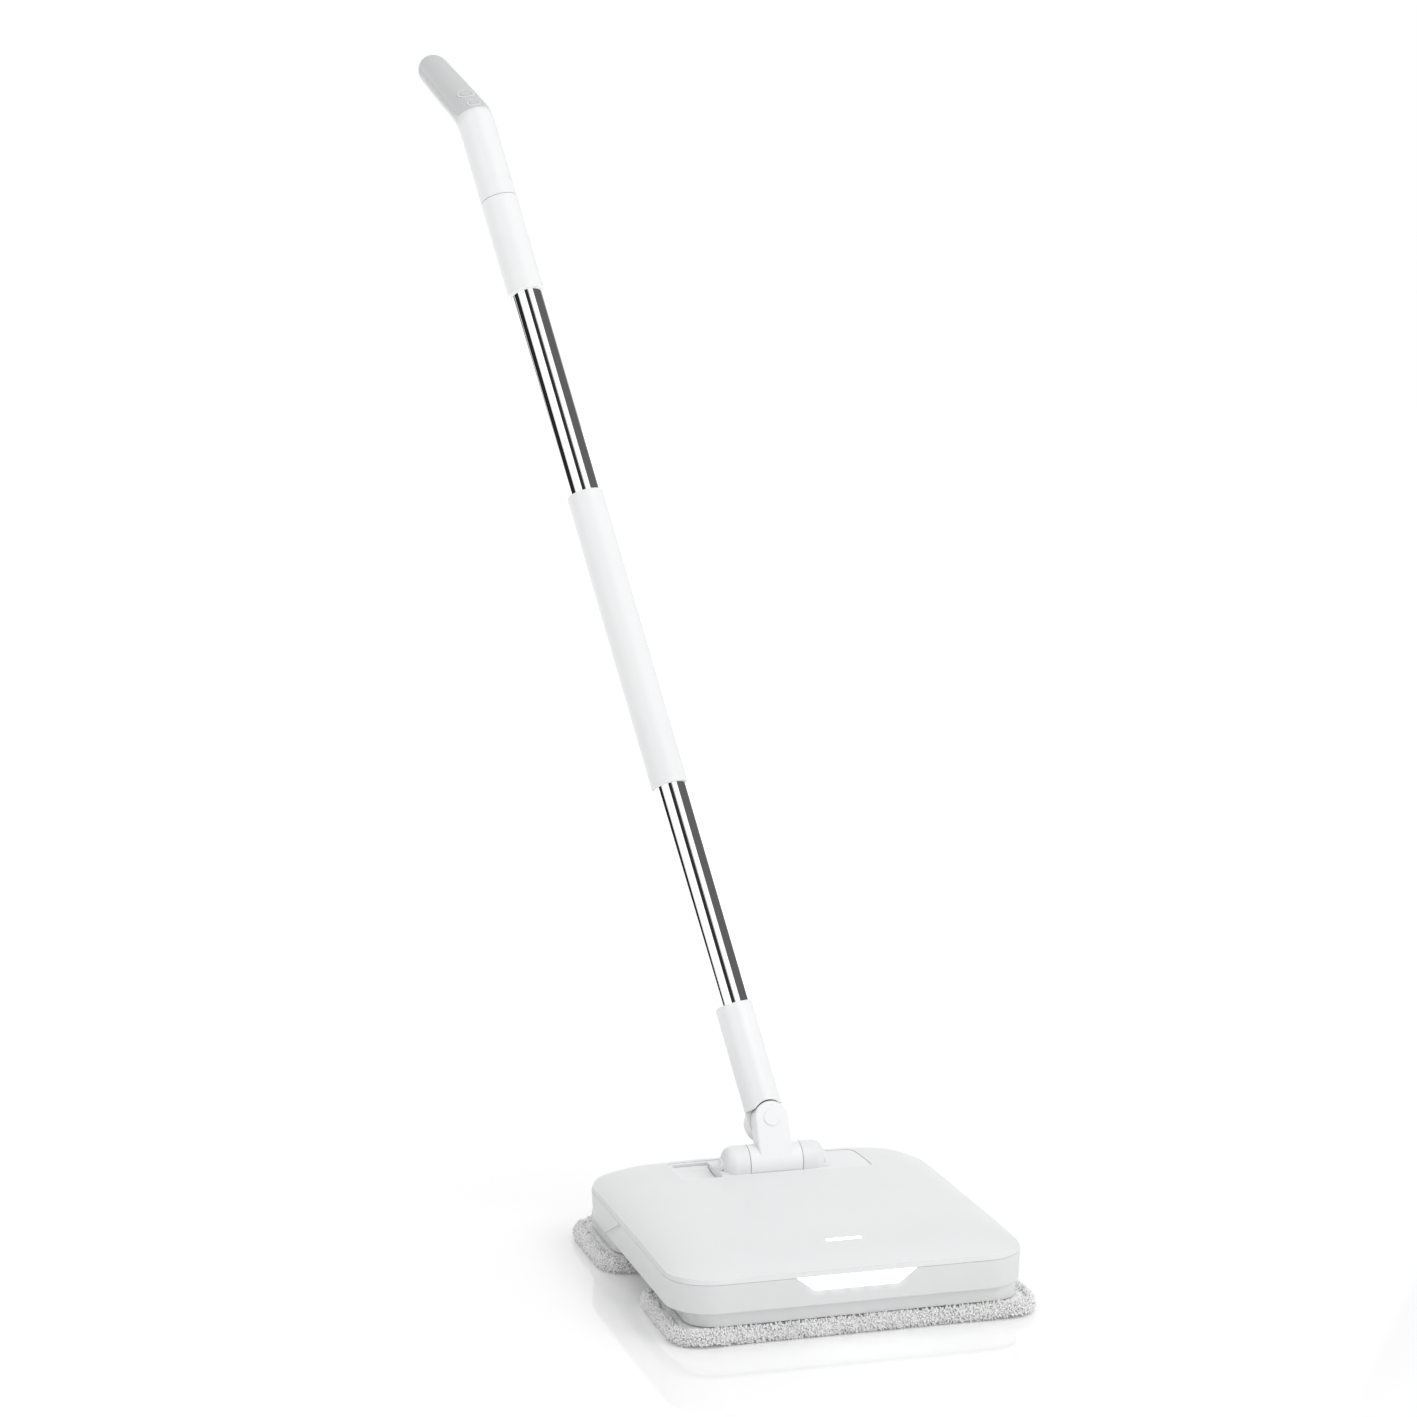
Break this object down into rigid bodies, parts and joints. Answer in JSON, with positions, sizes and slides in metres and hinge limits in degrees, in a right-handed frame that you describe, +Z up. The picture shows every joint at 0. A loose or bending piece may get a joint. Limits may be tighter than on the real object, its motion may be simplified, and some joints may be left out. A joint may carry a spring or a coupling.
{
  "type": "cordless electric mop",
  "caption": "Square-headed cordless mop with opposed oscillating fabric pads, a two-axis joint at the head, a tubular pole and a bent grip with push buttons.",
  "frame": {"origin": "on the floor, under the middle of the head between the two pads", "axes": "+Z up; +X along the head's front edge, to the right seen from the front; -Y is the front of the head, where the headlight is, and the pole leans back towards +Y"},
  "size_m": [0.3715, 0.8469, 1.0865],
  "materials": {
    "white_shell": "gloss",
    "white_joint": "semi-gloss",
    "white_sleeve": "semi-gloss",
    "grip_grey": "satin",
    "key_grey": "satin",
    "lens": "clear, lit",
    "lamp": "lit",
    "chrome_tube": "polished",
    "steel": "machined",
    "light_grey": "satin",
    "dark_plastic": "matt",
    "black": "matt",
    "board": "solder mask",
    "cell": "wrapped",
    "cable": "matt",
    "acetal": "satin",
    "hook": "hook tape",
    "chenille": "deep pile"
  },
  "bodies": {
    "chassis": {"lower_shell": "white_shell", "top_cover": "white_shell", "front_lens": "lens", "status_light": "lamp", "case_screws": "steel", "joint_cradle": "white_joint", "ear_bushes": "acetal", "ear_caps": "white_joint", "cradle_screws": "steel", "latch_pin": "steel", "battery_case": "dark_plastic", "battery_cells": "cell", "main_board": "board", "board_posts": "acetal", "drive_motor": "steel", "motor_bracket": "steel", "head_harness": "cable", "headlight_board": "board", "headlight_leds": "lamp", "rocker_pivot": "steel", "charge_socket": "black"},
    "latch": {"release_latch": "white_joint"},
    "rocker": {"rocker_beam": "acetal", "rocker_pins": "steel"},
    "cam": {"eccentric_cam": "acetal"},
    "front_slider": {"front_carrier": "light_grey", "front_guides": "acetal", "front_hook_strips": "hook", "front_pad": "chenille"},
    "rear_slider": {"rear_carrier": "light_grey", "rear_guides": "acetal", "rear_hook_strips": "hook", "rear_pad": "chenille"},
    "yoke": {"trunnion_tee": "white_joint", "trunnion_shaft": "steel", "knuckle_pin": "steel", "knuckle_cap": "white_joint", "knuckle_washer": "steel"},
    "pole": {"neck": "white_sleeve", "lower_tube": "chrome_tube", "mid_sleeve": "white_sleeve", "sleeve_liner": "light_grey", "upper_tube": "chrome_tube", "handle_sleeve": "white_sleeve", "pole_harness": "cable", "handle_shell": "white_sleeve", "grip_cover": "grip_grey", "handle_board": "board", "button_switches": "black"},
    "power_key": {"power_button": "key_grey"},
    "mode_key": {"mode_button": "key_grey"}
  },
  "joints": [
    {"name": "fore_aft_tilt", "type": "hinge", "parent": "chassis", "child": "yoke", "pos_m": [0, 0.08, 0.0815], "axis": [-1, 0, 0], "range_deg": [-26, 44]},
    {"name": "side_tilt", "type": "hinge", "parent": "yoke", "child": "pole", "pos_m": [0, 0.09622, 0.11475], "axis": [0, 0.8988, -0.4384], "range_deg": [-55.6, 74.4]},
    {"name": "front_pad_slide", "type": "slide", "parent": "chassis", "child": "front_slider", "axis": [1, 0, 0], "range_m": [-0.01, 0]},
    {"name": "rear_pad_slide", "type": "slide", "parent": "chassis", "child": "rear_slider", "axis": [1, 0, 0], "range_m": [0, 0.0101]},
    {"name": "rocker_swing", "type": "hinge", "parent": "chassis", "child": "rocker", "pos_m": [0, 0.003, 0.0354], "axis": [0, 0, 1], "range_deg": [-11.1, 0]},
    {"name": "cam_spin", "type": "hinge", "parent": "chassis", "child": "cam", "pos_m": [0.036, 0.003, 0.0354], "axis": [0, 0, 1], "continuous": true},
    {"name": "latch_lift", "type": "hinge", "parent": "chassis", "child": "latch", "pos_m": [-0.06925, 0.111, 0.0695], "axis": [-1, 0, 0], "range_deg": [0, 35], "stiffness_Nm_per_rad": 0.05, "springref_deg": -14.32},
    {"name": "power_press", "type": "slide", "parent": "pole", "child": "power_key", "axis": [0.1093, 0.3785, -0.9191], "range_m": [0, 0.001], "stiffness_N_per_m": 900, "springref_m": -0.0006},
    {"name": "mode_press", "type": "slide", "parent": "pole", "child": "mode_key", "axis": [0.1093, 0.3785, -0.9191], "range_m": [0, 0.001], "stiffness_N_per_m": 900, "springref_m": -0.0006}
  ],
  "couplings": [
    {"joint": "rear_pad_slide", "follows": "front_pad_slide", "ratio": -1},
    {"joint": "rocker_swing", "follows": "front_pad_slide", "rad_per_m": 19.261}
  ]
}
